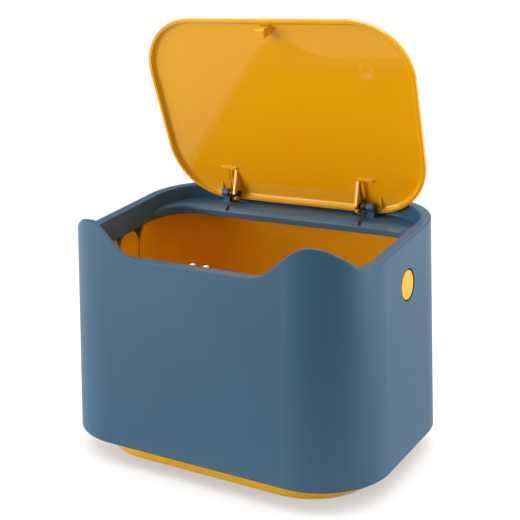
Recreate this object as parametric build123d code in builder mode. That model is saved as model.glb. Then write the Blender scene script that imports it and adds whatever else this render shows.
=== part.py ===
from build123d import *

import os
from math import acos, atan2, atan, cos, degrees, hypot, pi, radians, sin, sqrt, tan

os.makedirs("parts", exist_ok=True)

# A small lidded litter bin for the desk: X runs across it, -Y is its front, Z is up and the
# ground is Z 0. A shell sits over an inner bucket and is held by two push buttons. The lid
# stands open on two sprung hinges, and a touch latch behind the front rim holds it when shut.

# Shell, sized at its lower edge; its walls lean in by the draft
shell_width = 209.0
shell_depth = 149.4
shell_radius = 44.0
shell_foot = 14.0
shell_wall = 2.4
draft = 2.3

# Rim: low and level in front, a climbing plane at the sides and back, an ear at each front corner
front_rim = 130.5
rim_middle = 141.9
rim_tilt = 6.4
rim_width = 7.2
rim_thickness = 2.4
rim_round = 1.0
rim_tolerance = 0.02
skirt_wall = 1.6
skirt_drop = 15.7
ear_height = 20.1
ear_foot_width = 56.4
ear_crown_width = 32.8
ear_front_depth = 5.3
ear_back_depth = 22.0
ear_foot_round = 22.0
ear_crown_round = 25.0
ear_back_round = 9.0
ear_dip_round = 10.0

# Deck behind the mouth, which carries the hinges
deck_drop = 9.0
deck_thickness = 2.4
deck_reach = 10.5
lip_wall = 2.0
lip_round = 4.0
mouth_radius = 24.0
relief_middle = 44.5
relief_width = 10.0
relief_start = 1.5
relief_depth = 4.0

# Hinges
hinge_setback = 7.8
hinge_drop = 2.4
post_middle = 53.0
post_width = 5.0
post_radius = 2.8
post_front = 0.5
post_cap = 1.0
pin_radius = 2.1
pin_tail = 0.9
pin_fit = 0.05
press_fit = 0.02

# Hinge springs
wire = 0.55
coil_radius = 2.5
coil_pitch = 1.0
coil_turns = 3
coil_post_gap = 0.6
spring_slot_width = 2.0
spring_slot_depth = 2.6
spring_slot_length = 5.4
lower_leg_inset = 2.0
lower_leg_drop = 0.9
upper_leg_length = 14.8
upper_leg_gap = 0.12

# Lid, shown open
open_angle = 69.6
lid_side_gap = 1.0
lid_front_lap = 3.4
lid_seat_gap = 0.3
lid_swing_gap = 0.5
lid_corner_extra = 5.7
lid_height = 5.0
lid_panel = 2.0
lid_lip = 1.8
lid_edge_round = 3.2
lid_inner_round = 2.4
lid_skirt_gap = 0.4
hinge_inset = 5.3
hinge_proud = 1.84

# Ribs on the underside of the lid
eye_middle = 44.6
eye_width = 1.8
eye_radius = 4.8
eye_mouth = 3.0
gusset_length = 16.2
rail_middle = 47.9
rail_width = 1.5
rail_start = 4.2
rail_length = 10.8
rail_height = 2.2
cross_rib_gap = 0.6
cross_rib_width = 1.2
cross_rib_height = 1.5
cross_rib_stop = 2.0
fin_middle = 58.2
fin_width = 1.8
fin_length = 10.8
notch_gap = 0.6

# Striker under the lid's front edge
striker_width = 5.8
striker_depth = 5.0
striker_rim_gap = 0.4
striker_height = 6.3
striker_groove = 0.9
striker_groove_start = 2.4
striker_groove_end = 4.2

# Inner bucket
bucket_gap = 0.4
bucket_wall = 1.7
bucket_rim_gap = 0.3
bucket_shelf = 18.0
plinth_width = 180.0
plinth_depth = 120.0
plinth_radius = 40.8
plinth_floor = 2.0
plinth_edge_round = 1.5

# Push buttons on sprung tongues cut out of the bucket's side walls
button_y = 1.0
button_height = 116.2
button_radius = 8.5
button_gap = 1.0
button_sink = 0.3
tongue_margin = 1.2
tongue_root = 70.0
root_gap = 0.3
slit_width = 1.3
flare_drop = 1.2
flare_rise = 10.8
flare_half_width = 15.5
window_cap = 4.0

# Touch latch behind the front rim
tab_half_width = 17.0
tab_foot = 100.0
latch_half_width = 7.8
latch_depth = 9.1
latch_wall = 1.5
latch_floor = 2.0
latch_top_gap = 4.0
latch_gap = 0.3
latch_travel = 1.6
ear_thickness = 2.4
ear_reach = 6.7
ear_half_height = 6.5
screw_height = 111.5
screw_radius = 1.1
screw_head_radius = 2.2
screw_head_height = 1.4
screw_head_round = 0.5
screw_cross_length = 2.6
screw_cross_width = 0.6
screw_cross_depth = 0.8
screw_length = 5.4
boss_radius = 2.6
boss_length = 1.5
slider_height = 12.5
slider_clearance = 0.4
jaw_pivot = 4.8
jaw_drop = 11.9
jaw_eye = 1.2
jaw_pin = 0.5
jaw_inner = 4.3
jaw_outer = 5.5
jaw_tip = 3.4
jaw_tip_height = 1.0
jaw_width = 2.8
jaw_setback = 0.9
cam_pin_radius = 0.6
cam_pin_length = 3.2
cam_slot_end = 0.5
latch_wire = 0.5
latch_coil_radius = 2.2
latch_coil_turns = 5

# Places worked out from the sizes above
lean = tan(radians(draft))
climb = tan(radians(rim_tilt))
ear_crown = front_rim + ear_height
crest = ear_crown + shell_depth * climb
reach = shell_width + shell_depth


def half_width(height):
    return shell_width / 2 - (height - shell_foot) * lean


def half_depth(height):
    return shell_depth / 2 - (height - shell_foot) * lean


def corner_radius(height):
    return shell_radius - (height - shell_foot) * lean


def rim_height(y):
    return rim_middle + y * climb


mouth_x = half_width(front_rim) - rim_width
mouth_y = half_depth(front_rim) - rim_width
mouth_corner = corner_radius(front_rim) - rim_width
front_face = -half_depth(front_rim)
ear_back = front_face + ear_back_depth
hinge_y = mouth_y - hinge_setback
hinge_z = rim_height(hinge_y) - hinge_drop
deck_front = hinge_y - deck_reach

# The lid shuts with its front edge over the low rim, which sets its length and its closed slope
seat_y = hinge_y + mouth_y + lid_front_lap
seat_z = hinge_z - front_rim - lid_seat_gap
lid_span = sqrt(seat_y**2 + seat_z**2 - hinge_proud**2)
lid_length = lid_span + hinge_inset
closed_slope = atan2(seat_z, seat_y) + atan(hinge_proud / lid_span)
lid_width = 2 * (mouth_x - lid_side_gap)
lid_radius = mouth_corner + lid_corner_extra
lid_floor = lid_panel - lid_height
lid_reach = hypot(lid_span, hinge_proud + lid_height - lid_edge_round)
up_lid = Vector(0, -cos(radians(open_angle)), sin(radians(open_angle)))
under_lid = Vector(0, -sin(radians(open_angle)), -cos(radians(open_angle)))
lid_corner = Vector(0, hinge_y, hinge_z) - up_lid * hinge_inset - under_lid * hinge_proud
lid_plane = Plane(origin=lid_corner, x_dir=(1, 0, 0), z_dir=under_lid)
closing_turn = open_angle + degrees(closed_slope)


def rib_plane(x):
    # Plane across the lid at this X: its own X runs up the lid and its own Y out of the underside
    return Plane(origin=lid_corner + Vector(x, 0, 0), x_dir=up_lid, z_dir=(1, 0, 0))


def shut_point(along, out):
    # Where a point of the lid lies, as Y and Z, when the lid is shut
    y = hinge_y - (along - hinge_inset) * cos(closed_slope) + (out - hinge_proud) * sin(closed_slope)
    z = hinge_z - (along - hinge_inset) * sin(closed_slope) - (out - hinge_proud) * cos(closed_slope)
    return y, z


def walled_block(inset, bottom, top):
    # A solid that follows the leaning walls of the shell, set in by the same amount all round
    with BuildPart() as block:
        with BuildSketch(Plane.XY.offset(bottom)):
            RectangleRounded(2 * (half_width(bottom) - inset), 2 * (half_depth(bottom) - inset),
                             corner_radius(bottom) - inset)
        extrude(amount=top - bottom, taper=draft)
    return block.part


def below_rim(drop):
    # Everything lower than the rim by this drop, with a step down to the low rim in front
    with BuildPart() as space:
        with BuildSketch(Plane.YZ):
            Polygon((-reach, 0), (reach, 0), (reach, rim_height(reach) - drop),
                    (ear_back, rim_height(ear_back) - drop), (ear_back, front_rim - drop),
                    (-reach, front_rim - drop), align=None)
        extrude(amount=reach, both=True)
    return space.part


def rim_slab(upper_drop, lower_drop):
    # A flat slab parallel to the climbing rim, between two drops below it
    with BuildPart() as slab:
        with BuildSketch(Plane.YZ):
            Polygon((-reach, rim_height(-reach) - lower_drop), (reach, rim_height(reach) - lower_drop),
                    (reach, rim_height(reach) - upper_drop), (-reach, rim_height(-reach) - upper_drop),
                    align=None)
        extrude(amount=reach, both=True)
    return slab.part


def on_climbing_rim(edge):
    # Whether an edge lies along the rim's climbing plane
    spots = edge.positions([0, 0.3, 0.6, 1])
    return all(abs(spot.Z - rim_height(spot.Y)) < rim_tolerance for spot in spots)


def on_mouth_edge(edge):
    # Whether an edge lies along the mouth on the deck's upper side
    spots = edge.positions([0, 0.3, 0.6, 1])
    return all(abs(spot.Z - rim_height(spot.Y) + deck_drop) < rim_tolerance
               and abs(spot.X) < mouth_x + rim_tolerance for spot in spots)


def mouth_outline(grow):
    # The mouth's round-cornered edge at the deck, grown backwards and at the corners
    with BuildSketch(Plane.XY) as outline:
        with Locations((0, deck_front + grow - reach)):
            RectangleRounded(2 * (mouth_x + grow), 2 * reach, mouth_radius + grow)
    return outline.sketch


def deck_block(grow, upper_drop, lower_drop):
    # A slab parallel to the rim, all round the mouth
    with BuildPart() as block:
        with BuildSketch(Plane.XY):
            Rectangle(2 * reach, 2 * reach)
            add(mouth_outline(grow), mode=Mode.SUBTRACT)
        extrude(amount=crest)
        add(rim_slab(upper_drop, lower_drop), mode=Mode.INTERSECT)
    return block.part


# Parts of the shell that are made apart and joined to it
with BuildPart() as skirt_core:
    with BuildSketch(Plane.XY):
        RectangleRounded(2 * (mouth_x + skirt_wall), 2 * (mouth_y + skirt_wall), mouth_corner + skirt_wall)
    extrude(amount=crest)
    add(rim_slab(-reach, skirt_drop), mode=Mode.INTERSECT)

with BuildPart() as channel:
    add(walled_block(shell_wall, shell_foot, crest))
    add(below_rim(rim_thickness), mode=Mode.INTERSECT)
    add(skirt_core.part, mode=Mode.SUBTRACT)

with BuildPart() as deck:
    # Its front turns down into a lip, with a wide round along the mouth
    add(deck_block(0, deck_drop, skirt_drop))
    fillet(deck.edges().filter_by(on_mouth_edge), radius=lip_round)
    add(deck_block(lip_wall, deck_drop + deck_thickness, 2 * skirt_drop), mode=Mode.SUBTRACT)
    with BuildSketch(Plane.XY):
        RectangleRounded(2 * mouth_x + skirt_wall, 2 * mouth_y + skirt_wall, mouth_corner + skirt_wall / 2)
    extrude(amount=crest, mode=Mode.INTERSECT)

# Latch sizes that the shell's tab needs
tab_back = -mouth_y
screw_x = latch_half_width + ear_reach / 2

# Hinge pin and spring places; both springs are the same part, so neither mirrors the other
pin_end_x = post_middle + post_width / 2 - post_cap
relief_y = hinge_y + relief_start + relief_depth / 2
coil_outer_x = post_middle - post_width / 2 - coil_post_gap
leg_end_y = deck_front + lower_leg_inset
leg_end_z = rim_height(leg_end_y) - deck_drop - lower_leg_drop
leg_gap = hypot(leg_end_y - hinge_y, leg_end_z - hinge_z)
leg_start_angle = atan2(leg_end_z - hinge_z, leg_end_y - hinge_y) + acos(coil_radius / leg_gap)
upper_leg_out = lid_floor + wire / 2 + upper_leg_gap
upper_end = lid_corner + up_lid * (hinge_inset + upper_leg_length) + under_lid * upper_leg_out
upper_gap = hypot(upper_end.Y - hinge_y, upper_end.Z - hinge_z)
leg_stop_angle = atan2(upper_end.Z - hinge_z, upper_end.Y - hinge_y) - acos(coil_radius / upper_gap)
coil_sweep = (leg_stop_angle - leg_start_angle) % (2 * pi) + 2 * pi * coil_turns
coil_inner_x = coil_outer_x - coil_pitch * coil_sweep / (2 * pi)


with BuildPart() as outer_shell:
    add(walled_block(0, shell_foot, crest))
    # Ears and rim as seen from the side
    with BuildSketch(Plane.YZ):
        with BuildLine():
            FilletPolyline((-reach, ear_crown), (front_face + ear_front_depth, ear_crown),
                           (ear_back, rim_height(ear_back)), (reach, rim_height(reach)),
                           radius=(ear_back_round, ear_dip_round))
            Polyline((reach, rim_height(reach)), (reach, 2 * reach), (-reach, 2 * reach),
                     (-reach, ear_crown))
        make_face()
    extrude(amount=reach, both=True, mode=Mode.SUBTRACT)
    # Low front rim between the ears as seen from the front
    rim_x = half_width(front_rim)
    foot_x = rim_x - ear_foot_width
    crown_x = rim_x - ear_crown_width
    with BuildSketch(Plane.XZ.offset(-ear_back)):
        with BuildLine():
            FilletPolyline((-rim_x, ear_crown), (-crown_x, ear_crown), (-foot_x, front_rim),
                           (foot_x, front_rim), (crown_x, ear_crown), (rim_x, ear_crown),
                           radius=(ear_crown_round, ear_foot_round, ear_foot_round, ear_crown_round))
            Polyline((rim_x, ear_crown), (rim_x, reach), (-rim_x, reach), (-rim_x, ear_crown))
        make_face()
    extrude(amount=reach, mode=Mode.SUBTRACT)
    add(channel.part, mode=Mode.SUBTRACT)
    # Mouth, and the pocket behind the ears that the lid swings down into
    with BuildSketch(Plane.XY):
        RectangleRounded(2 * mouth_x, 2 * mouth_y, mouth_corner)
    extrude(amount=crest + reach, mode=Mode.SUBTRACT)
    # Rounded edges along the climbing rim, which also keep it clear of the open lid
    fillet(outer_shell.edges().filter_by(on_climbing_rim), radius=rim_round)
    pocket_front = hinge_y - lid_reach - lid_swing_gap
    pocket_corner = lid_radius + lid_side_gap
    with BuildSketch(Plane.XY.offset(front_rim)):
        with Locations((0, pocket_front + mouth_y)):
            RectangleRounded(2 * mouth_x, 2 * mouth_y, pocket_corner)
    extrude(amount=reach, mode=Mode.SUBTRACT)
    add(deck.part)
    # Hinge posts with round heads, open towards the middle for the pins
    post_foot = rim_height(hinge_y - post_front) - deck_drop - deck_thickness / 2
    for side in (-1, 1):
        with BuildSketch(Plane.YZ.offset(side * post_middle)):
            with Locations((hinge_y + (post_radius - post_front) / 2, (post_foot + hinge_z) / 2)):
                Rectangle(post_radius + post_front, hinge_z - post_foot)
            with Locations((hinge_y, hinge_z)):
                Circle(post_radius)
        extrude(amount=post_width / 2, both=True)
        with BuildSketch(Plane.YZ.offset(side * pin_end_x)):
            with Locations((hinge_y, hinge_z)):
                Circle(pin_radius + press_fit)
        extrude(amount=-side * post_width, mode=Mode.SUBTRACT)
    # Slots in the deck for the lower legs of the springs
    slot_start = deck_front - lip_wall
    slot_end = deck_front + spring_slot_length
    for leg_x in (-coil_inner_x, coil_outer_x):
        with BuildSketch(Plane.YZ.offset(leg_x)):
            Polygon((slot_start, rim_height(slot_start) - deck_drop - spring_slot_depth),
                    (slot_end, rim_height(slot_end) - deck_drop - spring_slot_depth),
                    (slot_end, rim_height(slot_end) - deck_drop + spring_slot_depth),
                    (slot_start, rim_height(slot_start) - deck_drop + spring_slot_depth), align=None)
        extrude(amount=spring_slot_width / 2, both=True, mode=Mode.SUBTRACT)
    # Relief openings in the deck below the lid's eyes
    with BuildSketch(Plane.XY.offset(front_rim)):
        with Locations((-relief_middle, relief_y), (relief_middle, relief_y)):
            Rectangle(relief_width, relief_depth)
    extrude(amount=hinge_z - front_rim, mode=Mode.SUBTRACT)
    # Holes for the push buttons
    with BuildSketch(Plane.YZ):
        with Locations((button_y, button_height)):
            Circle(button_radius + button_gap)
    extrude(amount=reach, both=True, mode=Mode.SUBTRACT)
    # Tab below the front rim with two screw bosses for the latch
    with BuildSketch(Plane.XZ.offset(-tab_back)):
        with Locations((0, (tab_foot + front_rim - rim_thickness) / 2)):
            Rectangle(2 * tab_half_width, front_rim - rim_thickness - tab_foot)
    extrude(amount=skirt_wall)
    with BuildSketch(Plane.XZ.offset(-tab_back + skirt_wall)):
        with Locations((-screw_x, screw_height), (screw_x, screw_height)):
            Circle(boss_radius)
    extrude(amount=boss_length)
    with BuildSketch(Plane.XZ.offset(-tab_back)):
        with Locations((-screw_x, screw_height), (screw_x, screw_height)):
            Circle(screw_radius + press_fit)
    extrude(amount=screw_length, mode=Mode.SUBTRACT)


def make_bucket_wall():
    # The bucket's leaning wall, which stops just under the rim's channel
    inside = walled_block(bucket_gap + shell_wall + bucket_wall, bucket_shelf, crest)
    top = below_rim(rim_thickness + bucket_rim_gap)
    with BuildPart() as wall:
        add(walled_block(bucket_gap + shell_wall, bucket_shelf, crest))
        add(inside, mode=Mode.SUBTRACT)
        add(top, mode=Mode.INTERSECT)
    return wall.part


def tongue_outline(grow):
    # Outline of a tongue on the side wall, with a round top concentric with its button
    with BuildSketch(Plane.YZ) as outline:
        with Locations((button_y, (tongue_root + button_height) / 2)):
            Rectangle(2 * (tongue_half_width + grow), button_height - tongue_root)
        with Locations((button_y, button_height)):
            Circle(tongue_half_width + grow)
    return outline.sketch


tongue_half_width = button_radius + tongue_margin
bucket_wall_solid = make_bucket_wall()
root_inset = bucket_gap + shell_wall + bucket_wall / 2
root_x = half_width(tongue_root) - root_inset
root_radius = bucket_wall / 2
window_foot = tongue_root - root_radius - root_gap
slit_half_width = tongue_half_width + slit_width
flare_foot = button_height - flare_drop
flare_top = button_height + flare_rise
window_top = flare_top + window_cap

with BuildPart() as inner_bucket:
    # Plinth that shows below the shell
    with BuildSketch(Plane.XY):
        RectangleRounded(plinth_width, plinth_depth, plinth_radius)
    extrude(amount=bucket_shelf + bucket_wall)
    fillet(inner_bucket.faces().sort_by(Axis.Z)[0].edges(), radius=plinth_edge_round)
    # Shelf that widens it to the walls
    with BuildSketch(Plane.XY.offset(bucket_shelf)):
        RectangleRounded(2 * (half_width(bucket_shelf) - bucket_gap - shell_wall),
                         2 * (half_depth(bucket_shelf) - bucket_gap - shell_wall),
                         corner_radius(bucket_shelf) - bucket_gap - shell_wall)
    extrude(amount=bucket_wall)
    with BuildSketch(Plane.XY.offset(plinth_floor)):
        RectangleRounded(plinth_width - 2 * bucket_wall, plinth_depth - 2 * bucket_wall,
                         plinth_radius - bucket_wall)
    extrude(amount=bucket_shelf, mode=Mode.SUBTRACT)
    add(bucket_wall_solid)
    # Windows round the tongues, wider at the top
    with BuildSketch(Plane.YZ):
        with Locations((button_y, 0)):
            Polygon((-slit_half_width, window_foot), (slit_half_width, window_foot),
                    (slit_half_width, flare_foot), (flare_half_width, flare_top),
                    (flare_half_width, window_top), (-flare_half_width, window_top),
                    (-flare_half_width, flare_top), (-slit_half_width, flare_foot), align=None)
    extrude(amount=reach, both=True, mode=Mode.SUBTRACT)


def make_tongue(side):
    # Sprung tongue of the bucket's wall, with the push button standing out through the shell
    with BuildPart() as tongue:
        add(bucket_wall_solid)
        extrude(tongue_outline(0), amount=side * reach, mode=Mode.INTERSECT)
        with BuildSketch(Plane.XZ.offset(-button_y)):
            with Locations((side * root_x, tongue_root)):
                Circle(root_radius)
        extrude(amount=tongue_half_width, both=True)
    return tongue.part


def make_button(side):
    # Round button whose face follows the shell's leaning side
    with BuildPart() as button:
        with BuildSketch(Plane.YZ):
            with Locations((button_y, button_height)):
                Circle(button_radius)
        extrude(amount=side * reach)
        add(walled_block(button_sink, bucket_shelf, crest), mode=Mode.INTERSECT)
        add(walled_block(root_inset, bucket_shelf, crest), mode=Mode.SUBTRACT)
    return button.part


with BuildPart() as snap_tongue_left:
    add(make_tongue(-1))
    add(make_button(-1))

with BuildPart() as snap_tongue_right:
    add(make_tongue(1))
    add(make_button(1))


with BuildPart() as lid_hollow:
    with BuildSketch(lid_plane.offset(lid_floor)):
        with Locations((0, lid_length / 2)):
            RectangleRounded(lid_width - 2 * lid_lip, lid_length - 2 * lid_lip, lid_radius - lid_lip)
    extrude(amount=lid_height)
    fillet(lid_hollow.faces().sort_by(Axis(lid_corner, under_lid))[0].edges(), radius=lid_inner_round)

with BuildPart() as lid:
    # Tray with a rounded outer edge and a thin lip
    with BuildSketch(lid_plane.offset(-lid_height)):
        with Locations((0, lid_length / 2)):
            RectangleRounded(lid_width, lid_length, lid_radius)
    extrude(amount=lid_height)
    fillet(lid.faces().sort_by(Axis(lid_corner, under_lid))[0].edges(), radius=lid_edge_round)
    # Rear edge rounded about the hinge axis, so that it swings clear of the skirt
    with BuildSketch(rib_plane(0)):
        with Locations((hinge_inset - hinge_setback, hinge_proud)):
            Rectangle(2 * hinge_setback, 4 * hinge_setback)
        with Locations((hinge_inset, hinge_proud)):
            Circle(hinge_setback - lid_skirt_gap, mode=Mode.SUBTRACT)
    extrude(amount=reach, both=True, mode=Mode.SUBTRACT)
    add(lid_hollow.part, mode=Mode.SUBTRACT)
    # Gap in the rear lip for each hinge post
    for side in (-1, 1):
        with BuildSketch(lid_plane.offset(lid_floor)):
            with Locations((side * post_middle, 0)):
                Rectangle(post_width + 2 * notch_gap, 2 * (lid_lip + lid_inner_round))
        extrude(amount=lid_height, mode=Mode.SUBTRACT)
    for side in (-1, 1):
        # Gusset that ends in the hinge eye
        tip = hypot(gusset_length, hinge_proud - lid_floor)
        tangent = acos(eye_radius / tip) - atan2(hinge_proud - lid_floor, gusset_length)
        with BuildSketch(rib_plane(side * eye_middle)):
            Polygon((hinge_inset + gusset_length, lid_floor),
                    (hinge_inset + gusset_length, lid_floor - lid_panel / 2),
                    (hinge_inset - eye_radius, lid_floor - lid_panel / 2),
                    (hinge_inset - eye_radius, hinge_proud),
                    (hinge_inset, hinge_proud),
                    (hinge_inset + eye_radius * cos(tangent), hinge_proud + eye_radius * sin(tangent)),
                    align=None)
            with Locations((hinge_inset, hinge_proud)):
                Circle(eye_radius)
        extrude(amount=eye_width / 2, both=True)
        # Rail beside the spring's upper leg, with a cross rib at its end
        with BuildSketch(rib_plane(side * rail_middle)):
            rail_along = hinge_inset + rail_start + rail_length / 2
            with Locations((rail_along, lid_floor + rail_height / 2 - lid_panel / 4)):
                Rectangle(rail_length, rail_height + lid_panel / 2)
        extrude(amount=rail_width / 2, both=True)
        cross_start = eye_middle - eye_width / 2
        cross_end = fin_middle - fin_width / 2 - cross_rib_stop
        cross_along = hinge_inset + gusset_length + cross_rib_gap
        with BuildSketch(lid_plane.offset(lid_floor - lid_panel / 2)):
            with Locations((side * (cross_start + cross_end) / 2, cross_along)):
                Rectangle(cross_end - cross_start, cross_rib_width)
        extrude(amount=cross_rib_height + lid_panel / 2)
        # Fin outside the post
        with BuildSketch(rib_plane(side * fin_middle)):
            Polygon((fin_length, lid_floor), (fin_length, lid_floor - lid_panel / 2),
                    (lid_lip / 2, lid_floor - lid_panel / 2), (lid_lip / 2, 0), align=None)
        extrude(amount=fin_width / 2, both=True)
    # Bore and snap mouth of each eye
    for side in (-1, 1):
        with BuildSketch(rib_plane(side * eye_middle)):
            with Locations((hinge_inset, hinge_proud)):
                Circle(pin_radius + pin_fit)
            with Locations((hinge_inset, hinge_proud + eye_radius)):
                Rectangle(eye_mouth, 2 * eye_radius)
        extrude(amount=eye_width / 2, both=True, mode=Mode.SUBTRACT)
    # Striker, waisted for the latch's jaws
    striker_along = lid_length - lid_front_lap - striker_rim_gap - striker_depth / 2
    with BuildSketch(lid_plane.offset(lid_floor - lid_panel / 2)):
        with Locations((0, striker_along)):
            Rectangle(striker_width, striker_depth)
    extrude(amount=striker_height - lid_floor + lid_panel / 2)
    with BuildSketch(lid_plane.offset(striker_groove_start)):
        with Locations((-striker_width / 2, striker_along), (striker_width / 2, striker_along)):
            Rectangle(2 * striker_groove, 2 * striker_depth)
    extrude(amount=striker_groove_end - striker_groove_start, mode=Mode.SUBTRACT)


def make_pin(side):
    # Pin pressed into the post, whose tail carries the lid's eye
    tail_x = eye_middle - eye_width / 2 - pin_tail
    with BuildPart() as pin:
        with BuildSketch(Plane.YZ.offset(side * tail_x)):
            with Locations((hinge_y, hinge_z)):
                Circle(pin_radius)
        extrude(amount=side * (pin_end_x - tail_x))
    return pin.part


with BuildPart() as hinge_pin_left:
    add(make_pin(-1))

with BuildPart() as hinge_pin_right:
    add(make_pin(1))


def biarc(start, start_way, end, end_way):
    # Two arcs that meet smoothly and keep the given directions at both ends
    span = end - start
    both = start_way + end_way
    spread = 2 * (1 - start_way.dot(end_way))
    arm = (sqrt(span.dot(both) ** 2 + spread * span.dot(span)) - span.dot(both)) / spread
    near = start + start_way * arm
    far = end - end_way * arm
    joint = (near + far) * 0.5
    TangentArc(start, joint, tangent=start_way)
    TangentArc(joint, end, tangent=far - near)


def least_gap(path, skip, diameter):
    # Smallest clear space between turns, on points along the path at least this far apart along it
    samples = 12
    points = []
    travelled = 0
    for edge in path.edges():
        for step in range(samples):
            share = step / samples
            points.append((travelled + edge.length * share, edge.position_at(share)))
        travelled += edge.length
    gaps = [(near - far).length for at, near in points for along, far in points if along - at > skip]
    return min(gaps) - diameter


def make_torsion_spring(start_x):
    # Coil round the pin with a leg down into the deck's slot and a leg up along the lid
    def on_coil(angle):
        turned = (angle - leg_start_angle) / (2 * pi)
        return Vector(start_x - coil_pitch * turned, hinge_y + coil_radius * cos(angle),
                      hinge_z + coil_radius * sin(angle))

    def way(angle, inner):
        slope = -coil_pitch / (2 * pi) if inner else 0
        return Vector(slope, -coil_radius * sin(angle), coil_radius * cos(angle)).normalized()

    quarters = 4 * (coil_turns + 1)
    angles = [leg_start_angle + coil_sweep * step / quarters for step in range(quarters + 1)]
    foot = Vector(start_x, leg_end_y, leg_end_z)
    last = on_coil(angles[-1])
    tip = Vector(last.X, upper_end.Y, upper_end.Z)
    with BuildPart() as spring:
        with BuildLine() as path:
            Line(foot, on_coil(angles[0]))
            for step in range(quarters):
                biarc(on_coil(angles[step]), way(angles[step], step > 0),
                      on_coil(angles[step + 1]), way(angles[step + 1], step < quarters - 1))
            Line(last, tip)
        with BuildSketch(Plane(origin=foot, z_dir=on_coil(angles[0]) - foot)):
            Circle(wire / 2)
        sweep()
    clear = least_gap(path.line, pi * coil_radius, wire)
    print("torsion spring, least gap to itself", round(clear, 2), "mm")
    return spring.part


with BuildPart() as torsion_spring_left:
    add(make_torsion_spring(-coil_inner_x))

with BuildPart() as torsion_spring_right:
    add(make_torsion_spring(coil_outer_x))


# Latch places: the jaws' tips stand one travel above the shut striker's grooves
groove_y, groove_z = shut_point(striker_along, (striker_groove_start + striker_groove_end) / 2)
striker_end_y, striker_end_z = shut_point(striker_along + striker_depth / 2, striker_height)
jaw_top = groove_z + jaw_tip_height / 2 + latch_travel
pivot_z = jaw_top - jaw_drop
slider_top = striker_end_z - slider_clearance
slider_foot = slider_top - slider_height
jaw_front = tab_back + jaw_setback
jaw_back = jaw_front + jaw_width
latch_back = tab_back + latch_depth
latch_top = front_rim - latch_top_gap
cavity_half_width = latch_half_width - latch_wall
cavity_back = latch_back - latch_wall
slider_half_width = cavity_half_width - latch_gap
slider_back = cavity_back - latch_gap
slider_front = tab_back + latch_gap
cam_z = slider_foot + cam_slot_end + latch_gap + cam_pin_radius
jaw_swing = jaw_tip - (striker_width / 2 - striker_groove) - latch_gap
jaw_turn = degrees(atan2(jaw_swing, jaw_drop - jaw_tip_height / 2))

with BuildPart() as latch_housing:
    # Cage open towards the tab, with a floor and two screw ears
    with BuildSketch(Plane.XY.offset(tab_foot)):
        with Locations((0, (tab_back + latch_back) / 2)):
            Rectangle(2 * latch_half_width, latch_depth)
    extrude(amount=latch_top - tab_foot)
    with BuildSketch(Plane.XY.offset(tab_foot + latch_floor)):
        with Locations((0, (tab_back + cavity_back) / 2)):
            Rectangle(2 * cavity_half_width, cavity_back - tab_back)
    extrude(amount=latch_top, mode=Mode.SUBTRACT)
    for side in (-1, 1):
        with BuildSketch(Plane.XZ.offset(-tab_back)):
            with Locations((side * (latch_half_width - latch_wall / 2 + ear_reach / 2), screw_height)):
                Rectangle(ear_reach + latch_wall, 2 * ear_half_height)
        extrude(amount=-ear_thickness)
    with BuildSketch(Plane.XZ.offset(-tab_back)):
        with Locations((-screw_x, screw_height), (screw_x, screw_height)):
            Circle(screw_radius + press_fit)
    extrude(amount=-ear_thickness, mode=Mode.SUBTRACT)
    with BuildSketch(Plane.XZ.offset(-latch_back)):
        with Locations((0, cam_z)):
            Circle(cam_pin_radius + press_fit)
    extrude(amount=latch_wall, mode=Mode.SUBTRACT)

with BuildPart() as latch_slider:
    # Sliding block between the jaws, with a bay for each of them
    with BuildSketch(Plane.XY.offset(slider_foot)):
        with Locations((0, (slider_front + slider_back) / 2)):
            Rectangle(2 * slider_half_width, slider_back - slider_front)
    extrude(amount=slider_height)
    bay_inner = jaw_tip - latch_gap
    bay_back = jaw_back + latch_gap
    for side in (-1, 1):
        with BuildSketch(Plane.XY.offset(pivot_z - jaw_eye - latch_gap)):
            with Locations((side * (bay_inner + latch_half_width / 2), bay_back - latch_depth / 2)):
                Rectangle(latch_half_width, latch_depth)
        extrude(amount=slider_height, mode=Mode.SUBTRACT)
        with BuildSketch(Plane.XZ.offset(-slider_back)):
            with Locations((side * jaw_pivot, pivot_z)):
                Circle(jaw_pin + press_fit)
        extrude(amount=latch_depth, mode=Mode.SUBTRACT)
    # Groove for the fixed cam pin
    cam_groove = 2 * (cam_pin_radius + latch_gap)
    with BuildSketch(Plane.XZ.offset(-slider_back)):
        with Locations((0, cam_z + latch_travel / 2)):
            Rectangle(cam_groove, cam_groove + latch_travel)
    extrude(amount=cam_pin_length - latch_wall, mode=Mode.SUBTRACT)


def make_jaw(side):
    # Upright arm on a pivot, with a tip that hooks into the striker's groove
    with BuildPart() as jaw:
        with BuildSketch(Plane.XZ.offset(-jaw_back)):
            with Locations((side * (jaw_inner + jaw_outer) / 2, (pivot_z + jaw_top) / 2)):
                Rectangle(jaw_outer - jaw_inner, jaw_top - pivot_z)
            with Locations((side * (jaw_tip + jaw_outer) / 2, jaw_top - jaw_tip_height / 2)):
                Rectangle(jaw_outer - jaw_tip, jaw_tip_height)
            with Locations((side * jaw_pivot, pivot_z)):
                Circle(jaw_eye)
                Circle(jaw_pin + pin_fit, mode=Mode.SUBTRACT)
        extrude(amount=jaw_width)
    return jaw.part


with BuildPart() as latch_jaw_left:
    add(make_jaw(-1))

with BuildPart() as latch_jaw_right:
    add(make_jaw(1))

with BuildPart() as jaw_pins:
    with BuildSketch(Plane.XZ.offset(-slider_back)):
        with Locations((-jaw_pivot, pivot_z), (jaw_pivot, pivot_z)):
            Circle(jaw_pin)
    extrude(amount=slider_back - jaw_front)

with BuildPart() as latch_cam_pin:
    with BuildSketch(Plane.XZ.offset(-latch_back)):
        with Locations((0, cam_z)):
            Circle(cam_pin_radius)
    extrude(amount=cam_pin_length)

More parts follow.
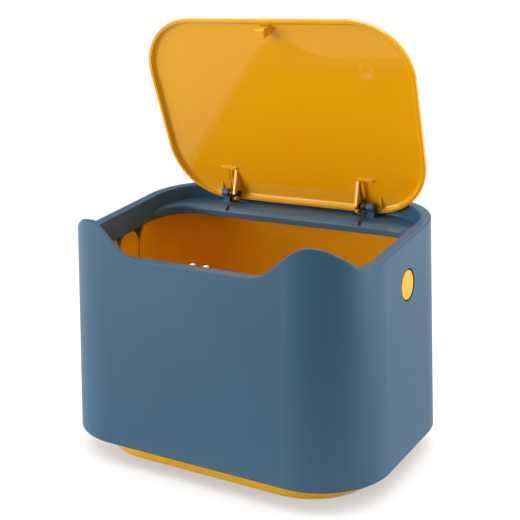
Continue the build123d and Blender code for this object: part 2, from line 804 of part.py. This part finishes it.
with BuildPart() as latch_screws:
    ear_face = tab_back + ear_thickness
    with BuildSketch(Plane.XZ.offset(-ear_face)):
        with Locations((-screw_x, screw_height), (screw_x, screw_height)):
            Circle(screw_head_radius)
    extrude(amount=-screw_head_height)
    fillet(latch_screws.edges().group_by(Axis.Y)[-1], radius=screw_head_round)
    # Cross recess
    with BuildSketch(Plane.XZ.offset(-ear_face - screw_head_height)):
        with Locations((-screw_x, screw_height), (screw_x, screw_height)):
            Rectangle(screw_cross_length, screw_cross_width)
            Rectangle(screw_cross_width, screw_cross_length)
    extrude(amount=screw_cross_depth, mode=Mode.SUBTRACT)
    with BuildSketch(Plane.XZ.offset(-ear_face)):
        with Locations((-screw_x, screw_height), (screw_x, screw_height)):
            Circle(screw_radius)
    extrude(amount=screw_length)


def make_latch_spring():
    # Compression coil between the latch's floor and its slider
    low = tab_foot + latch_floor + latch_wire / 2 + press_fit
    high = slider_foot - latch_wire / 2 - press_fit
    middle_y = (slider_front + slider_back) / 2
    quarters = 4 * latch_coil_turns
    rise = (high - low) / (2 * pi * latch_coil_turns)

    def on_coil(angle):
        return Vector(latch_coil_radius * cos(angle), middle_y + latch_coil_radius * sin(angle),
                      low + rise * angle)

    def way(angle, inner):
        slope = rise if inner else 0
        return Vector(-latch_coil_radius * sin(angle), latch_coil_radius * cos(angle), slope).normalized()

    angles = [pi / 2 * step for step in range(quarters + 1)]
    with BuildPart() as spring:
        with BuildLine() as path:
            for step in range(quarters):
                biarc(on_coil(angles[step]), way(angles[step], step > 0),
                      on_coil(angles[step + 1]), way(angles[step + 1], step < quarters - 1))
        with BuildSketch(Plane(origin=on_coil(0), z_dir=way(0, False))):
            Circle(latch_wire / 2)
        sweep()
    clear = least_gap(path.line, pi * latch_coil_radius, latch_wire)
    print("latch spring, least gap to itself", round(clear, 2), "mm")
    return spring.part


with BuildPart() as latch_spring:
    add(make_latch_spring())

pieces = {
    "outer_shell": outer_shell,
    "inner_bucket": inner_bucket,
    "snap_tongue_left": snap_tongue_left,
    "snap_tongue_right": snap_tongue_right,
    "lid": lid,
    "hinge_pin_left": hinge_pin_left,
    "hinge_pin_right": hinge_pin_right,
    "torsion_spring_left": torsion_spring_left,
    "torsion_spring_right": torsion_spring_right,
    "latch_housing": latch_housing,
    "latch_slider": latch_slider,
    "latch_jaw_left": latch_jaw_left,
    "latch_jaw_right": latch_jaw_right,
    "jaw_pins": jaw_pins,
    "latch_cam_pin": latch_cam_pin,
    "latch_screws": latch_screws,
    "latch_spring": latch_spring,
}
for name, piece in pieces.items():
    piece.part.label = name
    export_step(piece.part, f"parts/{name}.step")

print("hinge axis Y, Z", round(hinge_y, 3), round(hinge_z, 3))
print("lid shuts in", round(closing_turn, 3), "degrees")
print("tongue axis X, Z", round(root_x, 3), tongue_root)
print("jaw pivot X, Z", jaw_pivot, round(pivot_z, 3), "jaw turns", round(jaw_turn, 3), "degrees")
print("jaw middle Y", round((jaw_front + jaw_back) / 2, 3))
print("shut groove Y, Z", round(groove_y, 3), round(groove_z, 3))
print("lid", round(lid_width, 2), round(lid_length, 2), round(lid_radius, 2))
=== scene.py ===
from math import cos, radians, sin

import bpy
from mathutils import Matrix, Vector


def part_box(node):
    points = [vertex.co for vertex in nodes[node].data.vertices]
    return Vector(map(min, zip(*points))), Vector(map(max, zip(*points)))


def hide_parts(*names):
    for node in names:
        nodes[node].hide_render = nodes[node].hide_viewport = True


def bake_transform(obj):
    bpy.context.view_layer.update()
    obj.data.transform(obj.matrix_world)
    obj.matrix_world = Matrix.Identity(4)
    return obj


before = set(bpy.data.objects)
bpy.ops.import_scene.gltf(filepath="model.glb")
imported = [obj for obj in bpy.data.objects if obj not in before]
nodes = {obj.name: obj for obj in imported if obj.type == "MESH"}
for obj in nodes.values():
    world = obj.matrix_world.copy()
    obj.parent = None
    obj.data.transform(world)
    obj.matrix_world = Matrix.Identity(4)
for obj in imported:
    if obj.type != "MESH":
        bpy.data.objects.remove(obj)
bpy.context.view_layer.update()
scene = bpy.context.scene
scene.view_settings.view_transform = "Standard"
print("frame loaded:", len(nodes), "CAD nodes")


def mm(value):
    return value / 1000


def linear(code):
    # "#RRGGBB" in sRGB to the linear colour that shader sockets take
    parts = [int(code[i:i + 2], 16) / 255 for i in (1, 3, 5)]
    return tuple(c / 12.92 if c <= 0.04045 else ((c + 0.055) / 1.055) ** 2.4 for c in parts) + (1.0,)


def addNode(tree, kind, settings={}, values={}, links={}):
    # one shader node: its own settings, the plain values of its sockets and the sockets it is fed from
    node = tree.nodes.new(kind)
    for name, value in settings.items():
        setattr(node, name, value)
    for name, value in values.items():
        node.inputs[name].default_value = value
    for name, source in links.items():
        tree.links.new(source, node.inputs[name])
    return node


def newMaterial(name):
    material = bpy.data.materials.new(name)
    material.use_nodes = True
    material.node_tree.nodes.clear()
    return material, material.node_tree


def finishMaterial(tree, surface):
    addNode(tree, "ShaderNodeOutputMaterial", links={"Surface": surface})


# What all the materials share: how busy each noise is, and how finely a soft edge is measured
texture = dict(
    flow={"Detail": 2.0, "Roughness": 0.45},
    sheen={"Detail": 3.0, "Roughness": 0.55},
    grain={"Detail": 2.0, "Roughness": 0.6},
    lines={"Detail": 3.0, "Roughness": 0.6},
    noiseLow=0.3, noiseHigh=0.7,   # nearly all of a noise lies between these
    edgeSamples=6)


def curledSkin(tree, place, skin, curl):
    # a panel that curls very slightly as it cools, which shows only in what it mirrors
    along = addNode(tree, "ShaderNodeVectorMath", {"operation": "DOT_PRODUCT"}, {1: curl["way"]}, {0: place})
    share = addNode(tree, "ShaderNodeMapRange", {"clamp": False},
                    {"From Min": curl["start"], "From Max": curl["end"]}, {"Value": along.outputs["Value"]})
    height = addNode(tree, "ShaderNodeMath", {"operation": "POWER"},
                     {1: curl["power"]}, {0: share.outputs["Result"]})
    bent = addNode(tree, "ShaderNodeBump", values={"Strength": 1.0, "Distance": mm(curl["riseMm"])},
                   links={"Height": height.outputs[0], "Normal": skin})
    return bent.outputs["Normal"]


# Moulded plastic: a smooth skin from a steel mould, fine grain, slow shifts in tone and sheen, soft edges
def mouldedPlastic(name, look):
    material, tree = newMaterial(name)
    place = addNode(tree, "ShaderNodeTexCoord").outputs["Object"]
    # slow flow marks of the moulding, as a slight shift in tone
    flow = addNode(tree, "ShaderNodeTexNoise",
                   values={"Scale": 1 / mm(look["flowMm"]), **texture["flow"]}, links={"Vector": place})
    tone = addNode(tree, "ShaderNodeMix", {"data_type": "RGBA"},
                   {"A": linear(look["colourDeep"]), "B": linear(look["colourPale"])},
                   {"Factor": flow.outputs["Fac"]})
    # sheen that varies a little, as handled plastic does
    sheen = addNode(tree, "ShaderNodeTexNoise",
                    values={"Scale": 1 / mm(look["sheenMm"]), **texture["sheen"]}, links={"Vector": place})
    rough = addNode(tree, "ShaderNodeMapRange",
                    values={"From Min": texture["noiseLow"], "From Max": texture["noiseHigh"],
                            "To Min": look["roughness"] - look["roughnessSpread"],
                            "To Max": look["roughness"] + look["roughnessSpread"]},
                    links={"Value": sheen.outputs["Fac"]})
    grain = addNode(tree, "ShaderNodeTexNoise",
                    values={"Scale": 1 / mm(look["grainMm"]), **texture["grain"]}, links={"Vector": place})
    edge = addNode(tree, "ShaderNodeBevel", {"samples": texture["edgeSamples"]},
                   {"Radius": mm(look["edgeMm"])})
    skin = edge.outputs["Normal"]
    if "curl" in look:
        skin = curledSkin(tree, place, skin, look["curl"])
    bump = addNode(tree, "ShaderNodeBump",
                   values={"Strength": look["grainStrength"], "Distance": mm(look["grainDepthMm"])},
                   links={"Height": grain.outputs["Fac"], "Normal": skin})
    shader = addNode(tree, "ShaderNodeBsdfPrincipled",
                     values={"IOR": look["ior"], "Specular IOR Level": look["specular"]},
                     links={"Base Color": tone.outputs["Result"], "Roughness": rough.outputs["Result"],
                            "Normal": bump.outputs["Normal"]})
    finishMaterial(tree, shader.outputs[0])
    return material


# Metal: drawn or turned stock, in tones that follow its fine scratches
def drawnMetal(name, look):
    material, tree = newMaterial(name)
    place = addNode(tree, "ShaderNodeTexCoord").outputs["Object"]
    stretched = addNode(tree, "ShaderNodeMapping", values={"Scale": look["stretch"]}, links={"Vector": place})
    lines = addNode(tree, "ShaderNodeTexNoise",
                    values={"Scale": 1 / mm(look["lineMm"]), **texture["lines"]},
                    links={"Vector": stretched.outputs["Vector"]})
    tone = addNode(tree, "ShaderNodeMix", {"data_type": "RGBA"},
                   {"A": linear(look["colourDeep"]), "B": linear(look["colourPale"])},
                   {"Factor": lines.outputs["Fac"]})
    rough = addNode(tree, "ShaderNodeMapRange",
                    values={"To Min": look["roughness"] - look["roughnessSpread"],
                            "To Max": look["roughness"] + look["roughnessSpread"]},
                    links={"Value": lines.outputs["Fac"]})
    edge = addNode(tree, "ShaderNodeBevel", {"samples": texture["edgeSamples"]},
                   {"Radius": mm(look["edgeMm"])})
    bump = addNode(tree, "ShaderNodeBump",
                   values={"Strength": look["lineStrength"], "Distance": mm(look["lineDepthMm"])},
                   links={"Height": lines.outputs["Fac"], "Normal": edge.outputs["Normal"]})
    shader = addNode(tree, "ShaderNodeBsdfPrincipled", values={"Metallic": 1.0},
                     links={"Base Color": tone.outputs["Result"], "Roughness": rough.outputs["Result"],
                            "Normal": bump.outputs["Normal"]})
    finishMaterial(tree, shader.outputs[0])
    return material


# Shell: polypropylene moulded in a lightly blasted tool, so it is satin, with a wide soft sheen.
# The tool's 0.15 mm grain is drawn at 0.7 mm, as finer grain is lost in the render.
shellPolypropylene = mouldedPlastic("shellPolypropyleneSatin", dict(
    colourDeep="#335A75", colourPale="#38607B", flowMm=60, sheenMm=25,
    roughness=0.36, roughnessSpread=0.02, grainMm=0.7, grainStrength=0.25, grainDepthMm=0.02,
    edgeMm=0.9, ior=1.49, specular=0.5))

# Bucket: the same polypropylene in yellow, as satin but with a fainter grain, from a smoother tool
bucketPolypropylene = mouldedPlastic("bucketPolypropyleneSatin", dict(
    colourDeep="#F3B706", colourPale="#F7BE0B", flowMm=50, sheenMm=22,
    roughness=0.36, roughnessSpread=0.03, grainMm=0.7, grainStrength=0.2, grainDepthMm=0.02,
    edgeMm=0.6, ior=1.49, specular=0.5))

# The lid curls from its rear edge to its front one, along the slope at which it stands open
lidPanel = dict(slopeDeg=69.6, curlMm=2.6, curlPower=2.0)
slope = radians(lidPanel["slopeDeg"])
lidUp = Vector((0, -cos(slope), sin(slope)))
lidLow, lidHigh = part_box("lid")
lidCurl = dict(way=lidUp, riseMm=lidPanel["curlMm"], power=lidPanel["curlPower"],
               start=lidUp.dot(Vector((0, lidHigh.y, lidLow.z))),
               end=lidUp.dot(Vector((0, lidLow.y, lidHigh.z))))

# Lid: ABS from a polished tool, glossy enough to mirror the room as a pale veil.
# In place of a grain it has the slow waves, 14 mm wide, of a large flat moulding.
lidAbs = mouldedPlastic("lidAbsPolished", dict(
    colourDeep="#F5B00C", colourPale="#F9B611", flowMm=70, sheenMm=35,
    roughness=0.03, roughnessSpread=0.008, grainMm=14, grainStrength=0.07, grainDepthMm=0.05,
    edgeMm=0.5, ior=1.53, specular=0.5, curl=lidCurl))

# Latch: acetal, black for the cage and natural white for slider and jaws; waxy and low in gloss
latchBlackAcetal = mouldedPlastic("latchAcetalBlack", dict(
    colourDeep="#17181A", colourPale="#1E1F22", flowMm=12, sheenMm=8,
    roughness=0.4, roughnessSpread=0.04, grainMm=0.5, grainStrength=0.2, grainDepthMm=0.01,
    edgeMm=0.3, ior=1.48, specular=0.5))
latchWhiteAcetal = mouldedPlastic("latchAcetalNatural", dict(
    colourDeep="#E6E5DE", colourPale="#F0EFEA", flowMm=12, sheenMm=8,
    roughness=0.35, roughnessSpread=0.04, grainMm=0.5, grainStrength=0.2, grainDepthMm=0.01,
    edgeMm=0.2, ior=1.48, specular=0.5))

# Pins and screws: steel blackened by phosphating, dark with a dull blue-grey glint
pinSteel = drawnMetal("pinSteelBlackened", dict(
    colourDeep="#1C2029", colourPale="#30353F", stretch=(0.3, 1.0, 1.0), lineMm=0.6,
    roughness=0.38, roughnessSpread=0.06, lineStrength=0.2, lineDepthMm=0.01, edgeMm=0.3))

# Springs: music wire, drawn bright and slightly browned by its heat treatment
springWire = drawnMetal("springMusicWire", dict(
    colourDeep="#6E665C", colourPale="#A79C8C", stretch=(1.0, 1.0, 1.0), lineMm=0.8,
    roughness=0.28, roughnessSpread=0.06, lineStrength=0.15, lineDepthMm=0.005, edgeMm=0.1))
print("materials made")

finishOfNode = {
    "outer_shell": shellPolypropylene,
    "inner_bucket": bucketPolypropylene,
    "snap_tongue_left": bucketPolypropylene,
    "snap_tongue_right": bucketPolypropylene,
    "lid": lidAbs,
    "hinge_pin_left": pinSteel,
    "hinge_pin_right": pinSteel,
    "latch_housing": latchBlackAcetal,
    "latch_slider": latchWhiteAcetal,
    "latch_jaw_left": latchWhiteAcetal,
    "latch_jaw_right": latchWhiteAcetal,
    "jaw_pins": pinSteel,
    "latch_cam_pin": pinSteel,
    "latch_screws": pinSteel,
}


def giveMaterial(piece, material):
    for place in piece.material_slots:
        place.material = material


for name, material in finishOfNode.items():
    giveMaterial(nodes[name], material)
print("CAD nodes finished:", len(finishOfNode))


def springCopy(name, node):
    # the CAD spring's own tube as a new piece in spring wire, with the CAD one hidden and left as it is
    piece = bpy.data.objects.new(name, nodes[node].data.copy())
    scene.collection.objects.link(piece)
    giveMaterial(piece, springWire)
    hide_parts(node)
    return piece


# Hinge springs: the lower leg, at the coil's right end, stays in its slot, and the upper leg, at the left
# end, goes with the lid as the coils wind; here each is a fixed copy of the CAD spring
for side in ("left", "right"):
    spring = springCopy("hingeSpring_" + side, "torsion_spring_" + side)
    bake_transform(spring)

# Latch spring: stands on the cage's floor and is squeezed by the slider
latchSpring = springCopy("latchSpring", "latch_spring")
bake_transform(latchSpring)
print("springs made")


# Floor: paper that keeps the bin's shadow, with a painted contact shadow under it, and melts into the white
# background; distances in metres
floorPaper = dict(
    width=8.0,
    colour="#ABABAB",                      # as it lights the bin
    nearColour="#E4E4E4",                  # paler close to the bin, where it lights the plinth
    nearStart=0.08, nearEnd=0.16,
    seenColour="#8C8C8C", seenGlow=0.77,   # to the camera: a grey that takes shadows, and a glow over it
    contactGlow=0.22,                      # what is left of the glow right under the bin's edge
    contactReach=0.02, contactSamples=16,
    fadeStart=0.28, fadeEnd=0.75,          # where it melts into plain white, from the middle
    dimWay=(0.62, -0.78, 0.0),             # glossy surfaces mirror it dark this way, towards the camera
    dimStart=0.15, dimEnd=0.35, dimLight=0.12)


def makeFloor():
    look = floorPaper
    half = look["width"] / 2
    mesh = bpy.data.meshes.new("floor")
    corners = [(-half, -half, 0), (half, -half, 0), (half, half, 0), (-half, half, 0)]
    mesh.from_pydata(corners, [], [(0, 1, 2, 3)])
    floor = bpy.data.objects.new("floor", mesh)
    scene.collection.objects.link(floor)
    material, tree = newMaterial("floorPaper")
    smooth = {"interpolation_type": "SMOOTHSTEP"}
    place = addNode(tree, "ShaderNodeTexCoord").outputs["Object"]
    away = addNode(tree, "ShaderNodeVectorMath", {"operation": "LENGTH"}, links={0: place})
    fade = addNode(tree, "ShaderNodeMapRange", smooth,
                   {"From Min": look["fadeStart"], "From Max": look["fadeEnd"]},
                   {"Value": away.outputs["Value"]})
    white = addNode(tree, "ShaderNodeEmission", values={"Strength": 1.0})

    # as it lights the bin: paler close to it
    far = addNode(tree, "ShaderNodeMapRange", smooth,
                  {"From Min": look["nearStart"], "From Max": look["nearEnd"]},
                  {"Value": away.outputs["Value"]})
    tone = addNode(tree, "ShaderNodeMix", {"data_type": "RGBA"},
                   {"A": linear(look["nearColour"]), "B": linear(look["colour"])},
                   {"Factor": far.outputs["Result"]})
    paper = addNode(tree, "ShaderNodeBsdfDiffuse", links={"Color": tone.outputs["Result"]})

    # as the camera sees it: a grey that takes the real shadow, under a glow that sinks where the bin stands
    # close over it, which paints a neutral contact shadow
    shadowed = addNode(tree, "ShaderNodeBsdfDiffuse", values={"Color": linear(look["seenColour"])})
    # occlusion under the bin dims the glow: this is the painted contact shadow
    uncovered = addNode(tree, "ShaderNodeAmbientOcclusion", {"samples": look["contactSamples"]},
                        {"Distance": look["contactReach"]})
    lit = addNode(tree, "ShaderNodeMapRange",
                  values={"To Min": look["contactGlow"], "To Max": look["seenGlow"]},
                  links={"Value": uncovered.outputs["AO"]})
    glow = addNode(tree, "ShaderNodeEmission", links={"Strength": lit.outputs["Result"]})
    near = addNode(tree, "ShaderNodeAddShader", links={0: shadowed.outputs[0], 1: glow.outputs[0]})
    seen = addNode(tree, "ShaderNodeMixShader",
                   links={0: fade.outputs["Result"], 1: near.outputs[0], 2: white.outputs[0]})

    # as glossy surfaces mirror it: the lit paper, white far away, dark towards the camera's side
    toCamera = addNode(tree, "ShaderNodeVectorMath", {"operation": "DOT_PRODUCT"},
                       {1: Vector(look["dimWay"]).normalized()}, {0: place})
    dim = addNode(tree, "ShaderNodeMapRange", smooth,
                  {"From Min": look["dimStart"], "From Max": look["dimEnd"]},
                  {"Value": toCamera.outputs["Value"]})
    dark = addNode(tree, "ShaderNodeEmission", values={"Strength": look["dimLight"]})
    faded = addNode(tree, "ShaderNodeMixShader",
                    links={0: fade.outputs["Result"], 1: paper.outputs[0], 2: white.outputs[0]})
    mirrored = addNode(tree, "ShaderNodeMixShader",
                       links={0: dim.outputs["Result"], 1: faded.outputs[0], 2: dark.outputs[0]})

    path = addNode(tree, "ShaderNodeLightPath")
    unseen = addNode(tree, "ShaderNodeMixShader",
                     links={0: path.outputs["Is Glossy Ray"], 1: paper.outputs[0], 2: mirrored.outputs[0]})
    surface = addNode(tree, "ShaderNodeMixShader",
                      links={0: path.outputs["Is Camera Ray"], 1: unseen.outputs[0], 2: seen.outputs[0]})
    finishMaterial(tree, surface.outputs[0])
    mesh.materials.append(material)


# Room: light from behind and the sides, dim towards the front, so that the satin sides keep their dark turn
room = dict(
    light=1.65,                    # on the bin
    mirrored=0.12,                 # what glossy and clear surfaces show of it
    frontWay=(0.45, -0.87, 0.2),   # towards the dim end, where a photographer stands
    frontShare=0.05,               # of the light, at the dim end
    dimStart=-0.1, dimEnd=0.7)     # 1 is straight towards the dim end and -1 straight away from it


def makeWorld():
    world = bpy.data.worlds.new("studio")
    world.use_nodes = True
    scene.world = world
    tree = world.node_tree
    tree.nodes.clear()
    way = addNode(tree, "ShaderNodeTexCoord").outputs["Generated"]
    toFront = addNode(tree, "ShaderNodeVectorMath", {"operation": "DOT_PRODUCT"},
                      {1: Vector(room["frontWay"]).normalized()}, {0: way})
    dim = addNode(tree, "ShaderNodeMapRange", {"interpolation_type": "SMOOTHSTEP"},
                  {"From Min": room["dimStart"], "From Max": room["dimEnd"],
                   "To Min": 1.0, "To Max": room["frontShare"]},
                  {"Value": toFront.outputs["Value"]})
    # 1 for camera, glossy and transmission rays, 0 for the light that falls on the bin
    path = addNode(tree, "ShaderNodeLightPath")
    either = addNode(tree, "ShaderNodeMath", {"operation": "MAXIMUM"},
                     links={0: path.outputs["Is Camera Ray"], 1: path.outputs["Is Glossy Ray"]})
    seen = addNode(tree, "ShaderNodeMath", {"operation": "MAXIMUM"},
                   links={0: either.outputs[0], 1: path.outputs["Is Transmission Ray"]})
    level = addNode(tree, "ShaderNodeMapRange", values={"To Min": room["light"], "To Max": room["mirrored"]},
                    links={"Value": seen.outputs[0]})
    dimmed = addNode(tree, "ShaderNodeMath", {"operation": "MULTIPLY"},
                     links={0: dim.outputs["Result"], 1: level.outputs["Result"]})
    # the camera itself sees plain white
    strength = addNode(tree, "ShaderNodeMath", {"operation": "MAXIMUM"},
                       links={0: dimmed.outputs[0], 1: path.outputs["Is Camera Ray"]})
    light = addNode(tree, "ShaderNodeBackground", values={"Color": (1, 1, 1, 1)},
                    links={"Strength": strength.outputs[0]})
    addNode(tree, "ShaderNodeOutputWorld", links={"Surface": light.outputs[0]})


# Lamps: azimuth 0 stands in front of the bin and 90 at its right; size, distance in metres, power in watts
lamps = dict(
    keyLow=dict(azimuth=-40, elevation=9, distance=1.4, size=(0.8, 0.4), power=8.4),
    keyHigh=dict(azimuth=-55, elevation=45, distance=1.4, size=(0.9, 0.9), power=4.5),
    frontFill=dict(azimuth=-15, elevation=20, distance=1.4, size=(0.8, 0.6), power=1.2),
    cameraFill=dict(azimuth=45, elevation=25, distance=1.4, size=(0.6, 0.6), power=0.5),
    sideLow=dict(azimuth=100, elevation=2, distance=1.3, size=(0.7, 0.25), power=6.2),
    sideHigh=dict(azimuth=100, elevation=45, distance=1.3, size=(0.8, 0.8), power=1.5),
    behind=dict(azimuth=180, elevation=50, distance=1.2, size=(0.8, 0.8), power=3.8),
    overhead=dict(azimuth=0, elevation=84, distance=1.2, size=(1.0, 0.8), power=5.5))
lampAim = Vector((0, 0, mm(110)))   # every lamp faces this spot, high in the body


def makeLamps():
    for name, lamp in lamps.items():
        az, el = radians(lamp["azimuth"]), radians(lamp["elevation"])
        way = Vector((sin(az) * cos(el), -cos(az) * cos(el), sin(el)))
        data = bpy.data.lights.new(name, "AREA")
        data.shape = "RECTANGLE"
        data.size, data.size_y = lamp["size"]
        data.energy = lamp["power"]
        piece = bpy.data.objects.new(name, data)
        scene.collection.objects.link(piece)
        piece.location = lampAim + way * lamp["distance"]
        piece.rotation_euler = way.to_track_quat("Z", "Y").to_euler()


# Camera: where the photograph was taken from, in mm and degrees
view = dict(azimuth=30.266, elevation=15.571, roll=-0.898, distanceMm=590.5, targetMm=(14.45, -17.51, 124.58),
            focalPixels=1001.5, framePixels=520, sensorMm=36.0, clipMm=10)


def makeCamera():
    az, el, roll = (radians(view[k]) for k in ("azimuth", "elevation", "roll"))
    back = Vector((sin(az) * cos(el), -cos(az) * cos(el), sin(el)))
    right = Vector((cos(az), sin(az), 0))
    up = back.cross(right)
    rolledRight = right * cos(roll) + up * sin(roll)
    rolledUp = up * cos(roll) - right * sin(roll)
    data = bpy.data.cameras.new("camera")
    data.sensor_width = view["sensorMm"]
    data.lens = view["sensorMm"] * view["focalPixels"] / view["framePixels"]
    data.clip_start = mm(view["clipMm"])
    camera = bpy.data.objects.new("camera", data)
    scene.collection.objects.link(camera)
    turn = Matrix((rolledRight, rolledUp, back)).transposed().to_4x4()
    spot = mm(Vector(view["targetMm"]) + back * view["distanceMm"])
    camera.matrix_world = Matrix.Translation(spot) @ turn
    scene.camera = camera


makeFloor()
makeWorld()
makeLamps()
makeCamera()
print("studio and camera made")
